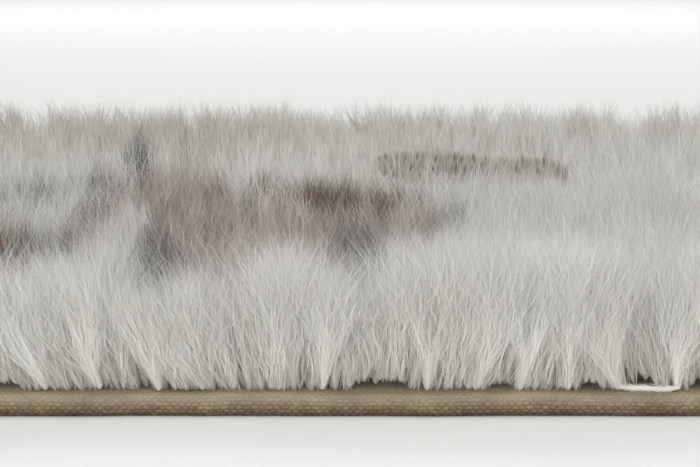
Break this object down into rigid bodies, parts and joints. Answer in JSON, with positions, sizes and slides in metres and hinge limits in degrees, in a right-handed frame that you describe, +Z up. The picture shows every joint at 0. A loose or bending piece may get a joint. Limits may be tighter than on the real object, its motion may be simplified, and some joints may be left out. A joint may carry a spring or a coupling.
{
  "type": "wool rug",
  "caption": "Cut length of a thick ivory wool shag rug with a faded blush and grey pattern, on a canvas backing with turned edges.",
  "frame": {"origin": "on the floor under the middle of the backing", "axes": "+X along the front edge (the longer side), -Y towards the front, +Z up through the pile"},
  "size_m": [0.457, 0.305, 0.0324],
  "materials": {
    "canvas": "plain-woven khaki cotton canvas, matt",
    "wool": "long ivory wool pile with blush, brown, taupe and slate-grey fields, soft and matt"
  },
  "bodies": {
    "root": {"canvas_backing": "canvas", "shag_pile": "wool"}
  },
  "joints": []
}
